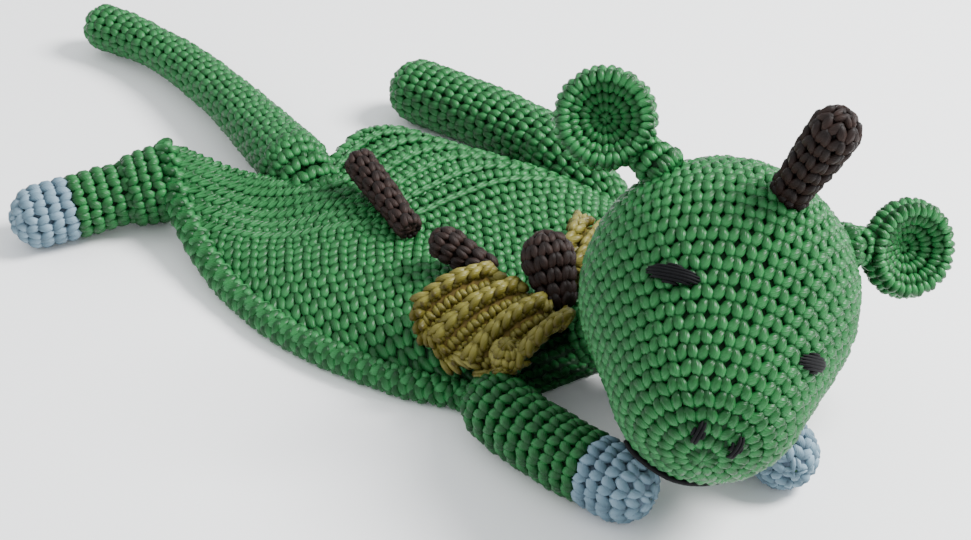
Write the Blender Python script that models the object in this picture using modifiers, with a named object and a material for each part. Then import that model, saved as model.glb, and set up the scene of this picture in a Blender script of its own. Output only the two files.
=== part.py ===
"""Crocheted dragon hand puppet, lying on its belly: a two-layer glove body, a ball head on a
short neck, stuffed limbs and tail, wings, ears, horn and back spikes.
Millimetres in the constants, metres in the model; +Z is up, the head points to -Y."""

import math

import bmesh
import bpy
from mathutils import Matrix, Vector

MM = 0.001
GAP = 0.3  # clearance between neighbouring pieces
FABRIC = 2.2  # thickness of a layer of double crochet

HEAD_CENTRE = Vector((10.4, -114.0, 54.0))
HEAD_RADIUS = 40.0
SNOUT_DIRECTION = Vector((-0.785, -0.592, -0.183)).normalized()
CROWN_HINT = Vector((0.12, -0.434, 0.893))
CROWN_DIRECTION = (CROWN_HINT - CROWN_HINT.dot(SNOUT_DIRECTION) * SNOUT_DIRECTION).normalized()
LEFT_DIRECTION = CROWN_DIRECTION.cross(SNOUT_DIRECTION)
# Snout half-outline: distance forward of the head's centre, radius.
SNOUT_OUTLINE = ((12.0, 38.2), (20.0, 35.2), (28.0, 31.8), (36.0, 28.6), (43.0, 26.0),
                 (49.0, 22.8), (54.0, 18.4), (58.0, 12.0), (60.3, 5.0))
SNOUT_TIP = 61.0
NOSE_STARTS = 43.0  # distance forward at which the snout's end begins to close
NOSE_LENGTH = 17.0
NOSE_WALL_SHARE = 0.35  # how much less the wall takes off sideways at the nose's tip
BALL_STARTS = 78.0  # degrees from the nose at which the head becomes a plain ball
BALL_STEPS = 8
HEAD_SIDES = 28

NECK_DIRECTION = Vector((-0.07, 0.767, -0.639)).normalized()
NECK_REACH = 54.0  # head centre to the neck's lower end
NECK_RADIUS = 11.0
NECK_FOLD = (6.6, -66.0, 27.5)  # the seam behind the neck, on which the head lifts
POCKET_RADIUS = 8.2  # room for one finger
POCKET_WALL = 1.4
POCKET_DEPTH = 2.0  # how near the pocket's blind end comes to the head's centre
NECK_WALL = 1.1
NECK_HEAD_GAP = 2.2  # from the head's skin to the neck's upper end
# The pocket's blind end: reach from the head's centre, share of its full radius.
POCKET_END = ((7.0, 0.85), (3.0, 0.5))

SEAM_RADIUS = 3.2
SEAM_HEIGHT = 3.6
SKIN_EDGE_HEIGHT = 5.2  # top of the back layer where it meets the seam

EYE_HALF = (8.4, 2.6, 1.0)  # half sizes: along, across, proud of the skin
NOSTRIL_HALF = (3.8, 1.4, 0.9)
MOUTH_RADIUS = 0.7

# The glove's back, from the neck to the hem: right edge, spine, left edge.
RIGHT_EDGE = ((-24, -62, 5.2), (-38, -37, 5.2), (-46, -12, 5.2), (-50, 14, 5.2),
              (-48, 45, 6.0), (-40, 76, 12.0), (-31, 98, 26.0))
SPINE_LINE = ((3, -62, 24), (1, -45, 22), (0, -22, 21), (0, 2, 20), (-1, 25, 20),
              (-4, 44, 19), (-7, 58, 18))
LEFT_EDGE = ((44, -78, 5.2), (58, -62, 5.2), (70, -44, 5.2), (75, -26, 5.2), (73.5, -6, 5.2),
             (66, 13, 5.2), (57, 32, 5.2))
HEM_BULGE = Vector((11.0, 22.0, 0.0))  # how far the hem's left half bows out rearwards
BULGE_STARTS = 0.4  # share of the back's length at which the hem's bow begins
CROWN_SHARPNESS_RIGHT = 2.0
CROWN_SHARPNESS_LEFT = 7.0
DIP_PLACE = 0.8  # hollow beside the tail, right side: place along the back, width, depth
DIP_WIDTH = 0.16
DIP_DEPTH = 5.0
BELLY_HEM = ((-30, 72), (-12, 66), (12, 62), (42, 56))
SEAM_STEPS = 24
PANEL_COLUMNS = 16
PANEL_ROWS = 15

COTTON_GREEN = (0.085, 0.36, 0.13, 1)
COTTON_WHITE = (0.55, 0.62, 0.74, 1)
COTTON_YELLOW = (0.62, 0.53, 0.12, 1)
COTTON_BROWN = (0.035, 0.018, 0.014, 1)
FLOSS_BLACK = (0.008, 0.008, 0.012, 1)
FILL_WHITE = (0.8, 0.79, 0.75, 1)

# Each limb: its four Bezier points from root to tip centre, its radius, and its height as a
# share of its width where something presses on it.
LIMBS = {
    "right_arm": (((-35, -70, 11), (-37, -88, 11), (-35, -104, 11), (-33, -118, 11)), 10.8, 1.0),
    "left_arm": (((41, -90, 6.6), (35, -103, 6.4), (24, -121, 6.4), (11.5, -142, 10.4)), 10.0, 0.6),
    "right_leg": (((-45, 101, 13.5), (-55, 106, 12.5), (-66, 110, 11.5), (-76, 114, 11)), 10.6, 1.0),
    "left_leg": (((80, 22, 12), (80, 44, 12), (77, 65, 12), (73, 83, 12)), 11.6, 1.0),
}
CAP_LENGTH = 11.0  # white part behind the tip's centre
LIMB_SIDES = 14
PRESSED_UNTIL = 0.62  # share of a limb's length that stays pressed flat

TAIL_CURVE = ((2, 71, 17), (12, 108, 12), (31, 165, 10.5), (17.5, 208, 11))
TAIL_RADII = (11.5, 11.2, 10.6, 10.0, 9.4, 8.9, 8.5, 8.1, 7.7, 8.2, 8.8)
TAIL_SPLIT = 5  # the ring at which the tail bends
TAIL_GAP = 3.6  # room for the bend

# Each spike: base centre, tip centre, base radius, tip radius.
SPIKES = {
    "back_spike_front": ((0, -60, 28.3), (4.5, -51, 38), 5.5, 8.4),
    "back_spike_middle": ((-2, -30, 25.9), (-6.5, -16.5, 31), 4.6, 5.6),
    "back_spike_rear": ((-2.5, 6.5, 24.8), (5, 38, 30.5), 4.2, 5.3),
}
SPIKE_FABRIC = 1.8
SPIKE_SWELL = ((0.0, 0.0), (0.35, 0.35), (0.7, 0.8), (1.0, 1.0))  # place, share of widening
HORN_LEAN = math.radians(5.0)
HORN_LENGTH = 24.0
HORN_FORWARD = -7.1
HORN_LIFT = 0.6
HORN_RADII = (5.6, 7.2)

# Eyes and nostrils: distance forward of the head's centre, degrees from the crown, slant forward.
EYES = {"right_eye": (23.2, -46.7, 0.0), "left_eye": (33.4, 40.5, -0.28)}
NOSTRIL_FORWARD = 58.8
NOSTRIL_TURN = 35.0
NOSTRIL_SLANT = -0.1
MOUTH_FORWARD = 47.0
MOUTH_DROP = 6.0
MOUTH_STARTS = -135.0
MOUTH_SWEEP = -90.0

EAR_FORWARD = -19.5
EAR_TURN = 58.8
EAR_ROOT_LIFT = 1.6
EAR_REACH = (0.92, 0.08, -0.39)  # sideways, up, forward
EAR_CUP_CENTRE = 20.5
EAR_CUP_HALF = 14.6
EAR_LENGTH_BEYOND = 14.5
EAR_HOLLOW_PLACE = 0.62
EAR_HOLLOW_HALF = 0.38
EAR_HOLLOW_DEPTH = 5.0
EAR_STEM = 0.3
EAR_SIDES = 20
EAR_FACING = Vector((-0.62, -0.64, 0.46)).normalized()
# Along the ear: place, half width, half thickness.
EAR_STEPS = ((0.0, 2.6, 2.0), (0.12, 4.2, 2.4), (0.3, 9.0, 2.6), (0.5, 13.2, 2.8),
             (0.68, 14.6, 2.8), (0.85, 12.2, 2.6), (0.95, 7.6, 2.4), (1.0, 3.0, 1.6))

# Each wing: inner rear, inner front, outer front, outer rear corners of its mid surface.
WINGS = {
    "right_wing": ((-9.5, -38, 31), (-12, -66, 30), (-32, -63, 19), (-28, -26, 24)),
    "left_wing": ((13, -33, 28), (14, -61, 29), (37, -57, 28), (37, -30, 28)),
}
WING_THICKNESS = 4.4
WING_RIBS = 4
WING_RIB_HEIGHT = 1.3
WING_ARCH = 3.0
WING_INNER_RIPPLE = 0.4
WING_COLUMNS = 6


def clear_scene():
    for obj in list(bpy.data.objects):
        bpy.data.objects.remove(obj, do_unlink=True)


def new_collection(name):
    collection = bpy.data.collections.new(name)
    bpy.context.scene.collection.children.link(collection)
    return collection


def material(name, colour, roughness):
    made = bpy.data.materials.new(name)
    made.use_nodes = True
    shader = made.node_tree.nodes["Principled BSDF"]
    shader.inputs["Base Color"].default_value = colour
    shader.inputs["Roughness"].default_value = roughness
    shader.inputs["Metallic"].default_value = 0.0
    return made


def add_object(name, mesh, finish, smooth=True):
    """Links a finished mesh into the puppet's collection as a named part."""
    mesh.materials.append(finish)
    if smooth:
        mesh.shade_smooth()
    obj = bpy.data.objects.new(name, mesh)
    PUPPET.objects.link(obj)
    return obj


def mesh_from(bm, name):
    mesh = bpy.data.meshes.new(name)
    bm.to_mesh(mesh)
    bm.free()
    return mesh


def along(direction):
    """Rotation that turns +Z to the given direction."""
    return Vector((0, 0, 1)).rotation_difference(direction).to_matrix().to_4x4()


def head_point(forward, up, left):
    return (HEAD_CENTRE + forward * SNOUT_DIRECTION + up * CROWN_DIRECTION
            + left * LEFT_DIRECTION)


def solidify(obj, thickness):
    wall = obj.modifiers.new("wall", "SOLIDIFY")
    wall.thickness = thickness * MM
    wall.offset = -1.0


def cut(obj, cutter):
    hole = obj.modifiers.new("hole", "BOOLEAN")
    hole.operation = "DIFFERENCE"
    hole.object = cutter


def cylinder_cutter(name, start, end, radius, sides=24):
    """A guide cylinder between two points, left out of the model."""
    bm = bmesh.new()
    length = (end - start).length
    bmesh.ops.create_cone(bm, cap_ends=True, segments=sides, radius1=radius * MM,
                          radius2=radius * MM, depth=length * MM)
    obj = bpy.data.objects.new(name, mesh_from(bm, name))
    obj.matrix_world = Matrix.Translation((start + end) / 2 * MM) @ along((end - start).normalized())
    obj.hide_render = True
    obj.display_type = "WIRE"
    CUTTERS.objects.link(obj)
    return obj


def head_outline(inset):
    """Half outline of the head from the nose's tip to the back, inset by a distance."""
    points = [(0.0, SNOUT_TIP - inset)]
    for forward, radius in reversed(SNOUT_OUTLINE):
        steep = min(1.0, max(0.0, (forward - NOSE_STARTS) / NOSE_LENGTH))
        points.append((max(radius - inset * (1 - NOSE_WALL_SHARE * steep), 1.0), forward - inset * steep))
    ball = HEAD_RADIUS - inset
    for step in range(1, BALL_STEPS + 1):
        turn = math.radians(BALL_STARTS + step * (180.0 - BALL_STARTS) / BALL_STEPS)
        points.append((ball * math.sin(turn), ball * math.cos(turn)))
    points[-1] = (0.0, -ball)
    return points


def turned_head(name, inset, sides, finish):
    """The head's outline turned about the snout's axis."""
    bm = bmesh.new()
    rim = [bm.verts.new((radius * MM, 0, height * MM)) for radius, height in head_outline(inset)]
    for upper, lower in zip(rim, rim[1:]):
        bm.edges.new((upper, lower))
    obj = add_object(name, mesh_from(bm, name), finish, smooth=False)
    obj.matrix_world = Matrix.Translation(HEAD_CENTRE * MM) @ along(SNOUT_DIRECTION)
    turn = obj.modifiers.new("turn", "SCREW")
    turn.steps = sides
    turn.render_steps = sides
    turn.use_merge_vertices = True
    turn.merge_threshold = 0.0001
    turn.use_smooth_shade = True
    return obj


def add_head():
    cover = turned_head("head_cover", 0.0, HEAD_SIDES, GREEN)
    solidify(cover, FABRIC)
    mouth_end = HEAD_CENTRE + (NECK_REACH + 4) * NECK_DIRECTION
    opening = cylinder_cutter("neck_opening", HEAD_CENTRE + 20 * NECK_DIRECTION, mouth_end,
                              POCKET_RADIUS + POCKET_WALL + GAP)
    cut(cover, opening)
    fill = turned_head("head_stuffing", FABRIC + 3 * GAP, HEAD_SIDES, FILL)
    blind_end = HEAD_CENTRE + (POCKET_DEPTH - GAP) * NECK_DIRECTION
    cut(fill, cylinder_cutter("pocket_room", blind_end, mouth_end,
                              POCKET_RADIUS + POCKET_WALL + GAP))


def ring_tube(rings, closed_start, closed_end):
    """A surface through rings of points, facing out, each end left open or closed."""
    bm = bmesh.new()
    loops = [[bm.verts.new(point * MM) for point in ring] for ring in rings]
    for first, second in zip(loops, loops[1:]):
        for index in range(len(first)):
            after = (index + 1) % len(first)
            bm.faces.new((first[index], first[after], second[after], second[index]))
    if closed_start:
        bm.faces.new(list(reversed(loops[0])))
    if closed_end:
        bm.faces.new(loops[-1])
    return bm


def round_ring(centre, direction, radius, sides, half_height=None):
    """Points round a centre in the plane across a direction; pressed flat, it widens."""
    side = Vector((0, 0, 1)).cross(direction)
    if side.length < 0.01:
        side = Vector((1, 0, 0))
    side.normalize()
    up = direction.cross(side).normalized()
    half_height = half_height or radius
    points = []
    for index in range(sides):
        turn = 2 * math.pi * index / sides
        points.append(centre + side * math.cos(turn) * radius
                      + up * math.sin(turn) * half_height)
    return points


def bezier(control, share):
    """A point of a Bezier curve and the curve's direction there."""
    first, second, third, last = [Vector(point) for point in control]
    rest = 1 - share
    point = (first * rest ** 3 + second * 3 * rest * rest * share
             + third * 3 * rest * share * share + last * share ** 3)
    way = ((second - first) * rest * rest + (third - second) * 2 * rest * share
           + (last - third) * share * share)
    return point, way.normalized()


def rounded_end(centre, direction, radius, sides, steps=3):
    """Rings of a half ball that closes a tube."""
    rings = []
    for step in range(1, steps + 1):
        turn = math.radians(85.0 * step / steps)
        rings.append(round_ring(centre + direction * radius * math.sin(turn), direction,
                                radius * math.cos(turn), sides))
    return rings


def limb_rings(control, radius, press, inset, start, stop, cap):
    """Rings of a limb between two shares of its length, with or without its round end."""
    rings = []
    count = max(2, round((stop - start) * 6))
    for index in range(count + 1):
        share = start + (stop - start) * index / count
        centre, direction = bezier(control, share)
        ease = min(1.0, max(0.0, (share - PRESSED_UNTIL) / (1 - PRESSED_UNTIL)))
        flat = press + (1 - press) * ease * ease * (3 - 2 * ease)
        rings.append(round_ring(centre, direction, radius * (1.5 - 0.5 * flat) - inset,
                                LIMB_SIDES, radius * flat - inset))
    if cap:
        rings += rounded_end(centre, direction, radius - inset, LIMB_SIDES)
    return rings


def colour_change(control):
    """The share of a limb's length at which it turns white."""
    share = 1.0
    tip = bezier(control, 1.0)[0]
    while (bezier(control, share)[0] - tip).length < CAP_LENGTH:
        share -= 0.005
    return share


def shift_first_ring(rings, distance):
    """Moves a tube's first ring forward, to leave a gap behind it."""
    first = sum(rings[0], Vector()) / len(rings[0])
    second = sum(rings[1], Vector()) / len(rings[1])
    step = (second - first).normalized() * distance
    rings[0] = [point + step for point in rings[0]]
    return rings


def add_limb(name, control, radius, press, end_finish):
    change = colour_change(control)
    sleeve = ring_tube(limb_rings(control, radius, press, 0.0, 0.0, change, False), False, False)
    solidify(add_object(name + "_sleeve", mesh_from(sleeve, name), GREEN), FABRIC)
    cap_rings = limb_rings(control, radius, press, 0.0, change, 1.0, True)
    cap = ring_tube(shift_first_ring(cap_rings, 2 * GAP), False, True)
    solidify(add_object(name + "_cap", mesh_from(cap, name), end_finish), FABRIC)
    fill_rings = limb_rings(control, radius, press, FABRIC + 2 * GAP, 0.0, 1.0, True)
    fill = ring_tube(shift_first_ring(fill_rings, GAP), True, True)
    add_object(name + "_stuffing", mesh_from(fill, name), FILL)


def tail_rings(inset, first, last, tip):
    rings = []
    for index in range(first, last + 1):
        centre, direction = bezier(TAIL_CURVE, index / (len(TAIL_RADII) - 1))
        rings.append(round_ring(centre, direction, TAIL_RADII[index] - inset, LIMB_SIDES))
    if tip:
        rings += rounded_end(centre, direction, TAIL_RADII[-1] - inset, LIMB_SIDES)
    return rings


def add_tail():
    last = len(TAIL_RADII) - 1
    base = ring_tube(tail_rings(0.0, 0, TAIL_SPLIT, False), False, False)
    solidify(add_object("tail_base_sleeve", mesh_from(base, "tail_base"), GREEN), FABRIC)
    base_fill = ring_tube(shift_first_ring(tail_rings(FABRIC + GAP, 0, TAIL_SPLIT, False), GAP),
                          True, True)
    add_object("tail_base_stuffing", mesh_from(base_fill, "tail_base_fill"), FILL)
    tip_rings = shift_first_ring(tail_rings(0.0, TAIL_SPLIT, last, True), TAIL_GAP)
    solidify(add_object("tail_tip_sleeve", mesh_from(ring_tube(tip_rings, False, True), "tail_tip"),
                        GREEN), FABRIC)
    tip_fill = shift_first_ring(tail_rings(FABRIC + GAP, TAIL_SPLIT, last, True), TAIL_GAP + GAP)
    add_object("tail_tip_stuffing", mesh_from(ring_tube(tip_fill, True, True), "tail_tip_fill"),
               FILL)


def spike_rings(base, tip, base_radius, tip_radius, inset, sides):
    direction = (tip - base).normalized()
    rings = [round_ring(base.lerp(tip, place), direction,
                        base_radius + (tip_radius - base_radius) * swell - inset, sides)
             for place, swell in SPIKE_SWELL]
    return rings + rounded_end(tip, direction, tip_radius - inset, sides)


def add_spike(name, base, tip, base_radius, tip_radius):
    base, tip = Vector(base), Vector(tip)
    cover = ring_tube(spike_rings(base, tip, base_radius, tip_radius, 0.0, 12), False, True)
    solidify(add_object(name + "_cover", mesh_from(cover, name), BROWN), SPIKE_FABRIC)
    rings = spike_rings(base, tip, base_radius, tip_radius, SPIKE_FABRIC + GAP, 10)
    fill = ring_tube(shift_first_ring(rings, GAP), True, True)
    add_object(name + "_stuffing", mesh_from(fill, name), FILL)


def add_horn():
    lean = (math.cos(HORN_LEAN) * CROWN_DIRECTION - math.sin(HORN_LEAN) * SNOUT_DIRECTION)
    base = head_point(HORN_FORWARD, HEAD_RADIUS + HORN_LIFT, 0)
    add_spike("head_horn", base, base + HORN_LENGTH * lean.normalized(), *HORN_RADII)


def add_ear(name, side):
    """A cupped disc on a short rolled stem; side is 1 for the left ear and -1 for the right."""
    root = ear_root(side)
    sideways_share, up_share, forward_share = EAR_REACH
    reach = (side * sideways_share * LEFT_DIRECTION + up_share * CROWN_DIRECTION
             + forward_share * SNOUT_DIRECTION).normalized()
    facing = (EAR_FACING - EAR_FACING.dot(reach) * reach).normalized()
    cup_centre = root + reach * EAR_CUP_CENTRE
    across = facing.cross(reach).normalized()
    rings = []
    for place, half_width, half_thick in EAR_STEPS:
        centre = root.lerp(cup_centre + reach * EAR_LENGTH_BEYOND, place)
        ring = []
        for index in range(EAR_SIDES):
            turn = 2 * math.pi * index / EAR_SIDES
            sideways = half_width * math.cos(turn)
            hollow = ((sideways / EAR_CUP_HALF) ** 2
                      + ((place - EAR_HOLLOW_PLACE) / EAR_HOLLOW_HALF) ** 2)
            lift = EAR_HOLLOW_DEPTH * (min(1.0, hollow) * min(1.0, place / EAR_STEM) - 1)
            thick = half_thick * math.sin(turn)
            ring.append(centre + across * sideways + facing * (lift + thick))
        rings.append(ring)
    add_object(name, mesh_from(ring_tube(rings, True, True), name), GREEN)
    face_outwards(name)


def face_outwards(name):
    """Turns a part's faces outwards."""
    mesh = bpy.data.objects[name].data
    bm = bmesh.new()
    bm.from_mesh(mesh)
    bmesh.ops.recalc_face_normals(bm, faces=bm.faces)
    bm.to_mesh(mesh)
    bm.free()


def line_point(line, share):
    """A point along a list of points joined by a smooth curve, 0 to 1."""
    place = share * (len(line) - 1)
    index = min(int(place), len(line) - 2)
    local = place - index
    before = Vector(line[max(index - 1, 0)])
    start, end = Vector(line[index]), Vector(line[index + 1])
    after = Vector(line[min(index + 2, len(line) - 1)])
    out, back = (end - before) / 2, (after - start) / 2
    square, cube = local * local, local ** 3
    return (start * (2 * cube - 3 * square + 1) + out * (cube - 2 * square + local)
            + end * (3 * square - 2 * cube) + back * (cube - square))


def back_point(share, across):
    """A point of the glove's back: share runs neck to hem, across -1 right to 1 left."""
    spine = line_point(SPINE_LINE, share)
    edge = line_point(RIGHT_EDGE if across < 0 else LEFT_EDGE, share)
    away = abs(across)
    point = spine.lerp(edge, away)
    if across > 0:
        bow = max(0.0, share - BULGE_STARTS) / (1 - BULGE_STARTS)
        point += HEM_BULGE * bow * math.sin(math.pi * away) ** 2
    sharpness = CROWN_SHARPNESS_RIGHT if across < 0 else CROWN_SHARPNESS_LEFT
    crown = 1 - away ** sharpness
    point.z = edge.z + (spine.z - edge.z) * crown
    if across < 0:
        dip = math.exp(-((share - DIP_PLACE) / DIP_WIDTH) ** 2) * math.sin(math.pi * away) ** 2
        point.z -= DIP_DEPTH * dip
    return point


def add_back_panel():
    rows = []
    for row in range(PANEL_ROWS + 1):
        share = row / PANEL_ROWS
        rows.append([back_point(share, -1 + 2 * column / PANEL_COLUMNS)
                     for column in range(PANEL_COLUMNS + 1)])
    bm = bmesh.new()
    grid = [[bm.verts.new(point * MM) for point in row] for row in rows]
    for near, far in zip(grid, grid[1:]):
        for column in range(PANEL_COLUMNS):
            bm.faces.new((near[column], near[column + 1], far[column + 1], far[column]))
    solidify(add_object("back_panel", mesh_from(bm, "back_panel"), GREEN), FABRIC)


def belly_outline():
    """The belly layer's outline, seen from above, counted round from the neck's right."""
    right = [line_point(RIGHT_EDGE, step / 8) for step in range(0, 7)]
    left = [line_point(LEFT_EDGE, step / 8) for step in range(8, -1, -1)]
    hem = [Vector((*place, 0)) for place in BELLY_HEM]
    return right + hem + left


def add_belly_panel():
    bm = bmesh.new()
    face = bm.faces.new([bm.verts.new((point.x * MM, point.y * MM, 0)) for point in belly_outline()])
    grown = bmesh.ops.extrude_face_region(bm, geom=[face])
    raised = [item for item in grown["geom"] if isinstance(item, bmesh.types.BMVert)]
    bmesh.ops.translate(bm, verts=raised, vec=(0, 0, FABRIC * MM))
    bmesh.ops.recalc_face_normals(bm, faces=bm.faces)
    add_object("belly_panel", mesh_from(bm, "belly_panel"), GREEN, smooth=False)


def outward_from_edge(line, share):
    """The level direction out of the glove across an edge."""
    before = line_point(line, max(0.0, share - 0.02))
    after = line_point(line, min(1.0, share + 0.02))
    way = after - before
    side = Vector((way.y, -way.x, 0)).normalized()
    return side if side.x * (-1 if line is RIGHT_EDGE else 1) > 0 else -side


def add_cord(name, points, radius, finish, resolution=2):
    """A round cord along points, as a capped curve."""
    curve = bpy.data.curves.new(name, "CURVE")
    curve.dimensions = "3D"
    curve.bevel_depth = radius * MM
    curve.bevel_resolution = resolution
    curve.use_fill_caps = True
    spline = curve.splines.new("POLY")
    spline.points.add(len(points) - 1)
    for spot, point in zip(spline.points, points):
        spot.co = (*(point * MM), 1)
    curve.materials.append(finish)
    obj = bpy.data.objects.new(name, curve)
    PUPPET.objects.link(obj)


def add_side_seam(name, line):
    points = []
    for step in range(SEAM_STEPS + 1):
        share = step / SEAM_STEPS
        point = line_point(line, share)
        point.z += SEAM_HEIGHT - SKIN_EDGE_HEIGHT
        points.append(point + outward_from_edge(line, share) * (SEAM_RADIUS + 2 * GAP))
    add_cord(name, points, SEAM_RADIUS, GREEN)


def neck_ring(reach, radius):
    return round_ring(HEAD_CENTRE + NECK_DIRECTION * reach, NECK_DIRECTION, radius, 20)


def add_neck():
    top = math.sqrt(HEAD_RADIUS ** 2 - POCKET_RADIUS ** 2) + NECK_HEAD_GAP
    sleeve = ring_tube([neck_ring(reach, NECK_RADIUS + FABRIC * 0.2)
                        for reach in (top, (top + NECK_REACH) / 2, NECK_REACH)], False, False)
    solidify(add_object("neck_sleeve", mesh_from(sleeve, "neck_sleeve"), GREEN), NECK_WALL)


def add_finger_pocket():
    outer = POCKET_RADIUS + POCKET_WALL
    rings = [neck_ring(reach, outer) for reach in (NECK_REACH - 0.5, 36, 22, 12)]
    rings += [neck_ring(reach, outer * share) for reach, share in POCKET_END]
    pocket = ring_tube(rings, False, True)
    solidify(add_object("finger_pocket", mesh_from(pocket, "finger_pocket"), GREEN), POCKET_WALL)
    face_outwards("finger_pocket")


def head_radius(forward):
    """The head's radius at a distance forward of its centre."""
    outline = ((SNOUT_TIP, 0.0),) + tuple(reversed(SNOUT_OUTLINE))
    for (near, near_radius), (far, far_radius) in zip(outline, outline[1:]):
        if far <= forward <= near:
            return far_radius + (near_radius - far_radius) * (forward - far) / (near - far)
    return math.sqrt(max(0.0, HEAD_RADIUS ** 2 - forward ** 2))


def head_skin(forward, turn):
    """A point of the head's skin and its outward normal; turn 0 is the crown, 90 the left."""
    angle = math.radians(turn)
    spread = CROWN_DIRECTION * math.cos(angle) + LEFT_DIRECTION * math.sin(angle)
    slope = (head_radius(forward + 1.5) - head_radius(forward - 1.5)) / 3.0
    normal = (spread - SNOUT_DIRECTION * slope).normalized()
    return HEAD_CENTRE + SNOUT_DIRECTION * forward + spread * head_radius(forward), normal


def add_pad(name, centre, normal, lengthways, half_size):
    """A small oval satin-stitch pad lying on the skin."""
    bm = bmesh.new()
    bmesh.ops.create_uvsphere(bm, u_segments=12, v_segments=6, radius=1.0)
    across = normal.cross(lengthways).normalized()
    long_way = across.cross(normal).normalized()
    turn = Matrix((long_way, across, normal)).transposed().to_4x4()
    size = Matrix.Diagonal((*[half * MM for half in half_size], 1.0))
    bmesh.ops.transform(bm, matrix=Matrix.Translation(centre * MM) @ turn @ size, verts=bm.verts)
    add_object(name, mesh_from(bm, name), BLACK)


def add_face():
    for name, (forward, turn, slant) in EYES.items():
        point, normal = head_skin(forward, turn)
        lengthways = LEFT_DIRECTION + SNOUT_DIRECTION * slant
        add_pad(name, point + normal * (EYE_HALF[2] + 2 * GAP), normal, lengthways, EYE_HALF)
    for name, side in (("right_nostril", -1), ("left_nostril", 1)):
        point, normal = head_skin(NOSTRIL_FORWARD, side * NOSTRIL_TURN)
        lengthways = CROWN_DIRECTION - LEFT_DIRECTION * side * NOSTRIL_SLANT
        add_pad(name, point + normal * (NOSTRIL_HALF[2] + 2 * GAP), normal, lengthways,
                NOSTRIL_HALF)
    mouth = []
    for step in range(9):
        share = step / 8
        point, normal = head_skin(MOUTH_FORWARD + MOUTH_DROP * math.sin(math.pi * share),
                                  MOUTH_STARTS + MOUTH_SWEEP * share)
        mouth.append(point + normal * (MOUTH_RADIUS + 2 * GAP))
    add_cord("mouth_thread", mouth, MOUTH_RADIUS, BLACK)


def add_wing(name, corners):
    """A ribbed slab over four corners, hinged along its inner edge."""
    inner_rear, inner_front, outer_front, outer_rear = [Vector(corner) for corner in corners]
    columns, rows = WING_COLUMNS, 4 * WING_RIBS
    points = []
    for row in range(rows + 1):
        share = row / rows
        inner = inner_rear.lerp(inner_front, share)
        outer = outer_rear.lerp(outer_front, share)
        ripple = WING_RIB_HEIGHT * math.cos(2 * math.pi * WING_RIBS * share)
        line = []
        for column in range(columns + 1):
            place = column / columns
            point = inner.lerp(outer, place)
            point.z += ripple * min(1.0, WING_INNER_RIPPLE + place) + WING_ARCH * math.sin(math.pi * place)
            line.append(point)
        points.append(line)
    bm = bmesh.new()
    grid = [[bm.verts.new(point * MM) for point in line] for line in points]
    for near, far in zip(grid, grid[1:]):
        for column in range(columns):
            bm.faces.new((near[column], near[column + 1], far[column + 1], far[column]))
    bmesh.ops.recalc_face_normals(bm, faces=bm.faces)
    if sum((face.normal.z for face in bm.faces)) < 0:
        bmesh.ops.reverse_faces(bm, faces=bm.faces)
    solidify(add_object(name, mesh_from(bm, name), YELLOW), WING_THICKNESS)


def ear_root(side):
    skin, outward = head_skin(EAR_FORWARD, side * EAR_TURN)
    return skin + outward * EAR_ROOT_LIFT


def tail_split_point():
    """The middle of the gap at which the tail bends."""
    centre, direction = bezier(TAIL_CURVE, TAIL_SPLIT / (len(TAIL_RADII) - 1))
    return centre + direction * TAIL_GAP / 2


def add_pivot(name, point, above=None):
    """An empty on a joint's axis, hung on the pivot above it in the chain."""
    pivot = bpy.data.objects.new(name + "_pivot", None)
    pivot.empty_display_size = 10 * MM
    PUPPET.objects.link(pivot)
    pivot.location = Vector(point) * MM
    if above:
        pivot.parent = above
        pivot.matrix_parent_inverse = Matrix.Translation(PIVOT_PLACES[above.name]).inverted()
    PIVOT_PLACES[pivot.name] = Vector(point) * MM
    return pivot


def hang(pivot, *names):
    """Parents pieces to a pivot without moving them."""
    for name in names:
        piece = bpy.data.objects[name]
        piece.parent = pivot
        piece.matrix_parent_inverse = Matrix.Translation(PIVOT_PLACES[pivot.name]).inverted()


def add_pivots():
    neck = add_pivot("neck", NECK_FOLD)
    hang(neck, "neck_sleeve")
    head = add_pivot("head", HEAD_CENTRE, neck)
    hang(head, "head_cover", "head_stuffing", "finger_pocket", "mouth_thread", "right_eye",
         "left_eye", "right_nostril", "left_nostril")
    hang(add_pivot("right_ear", ear_root(-1), head), "right_ear")
    hang(add_pivot("left_ear", ear_root(1), head), "left_ear")
    horn_base = head_point(HORN_FORWARD, HEAD_RADIUS + HORN_LIFT, 0)
    hang(add_pivot("horn", horn_base, head), "head_horn_cover", "head_horn_stuffing")
    for name, numbers in SPIKES.items():
        hang(add_pivot(name, numbers[0]), name + "_cover", name + "_stuffing")
    for name, corners in WINGS.items():
        hang(add_pivot(name, Vector(corners[0]).lerp(Vector(corners[1]), 0.5)), name)
    for name, numbers in LIMBS.items():
        hang(add_pivot(name, numbers[0][0]), name + "_sleeve", name + "_cap", name + "_stuffing")
    tail_base = add_pivot("tail_base", TAIL_CURVE[0])
    hang(tail_base, "tail_base_sleeve", "tail_base_stuffing")
    hang(add_pivot("tail_tip", tail_split_point(), tail_base), "tail_tip_sleeve",
         "tail_tip_stuffing")


clear_scene()
PIVOT_PLACES = {}
PUPPET = new_collection("dragon_hand_puppet")
CUTTERS = new_collection("cutters")
GREEN = material("green_cotton", COTTON_GREEN, 0.8)
WHITE = material("white_cotton", COTTON_WHITE, 0.8)
YELLOW = material("yellow_cotton", COTTON_YELLOW, 0.8)
BROWN = material("brown_cotton", COTTON_BROWN, 0.8)
BLACK = material("black_floss", FLOSS_BLACK, 0.5)
FILL = material("polyester_fill", FILL_WHITE, 0.9)

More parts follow.
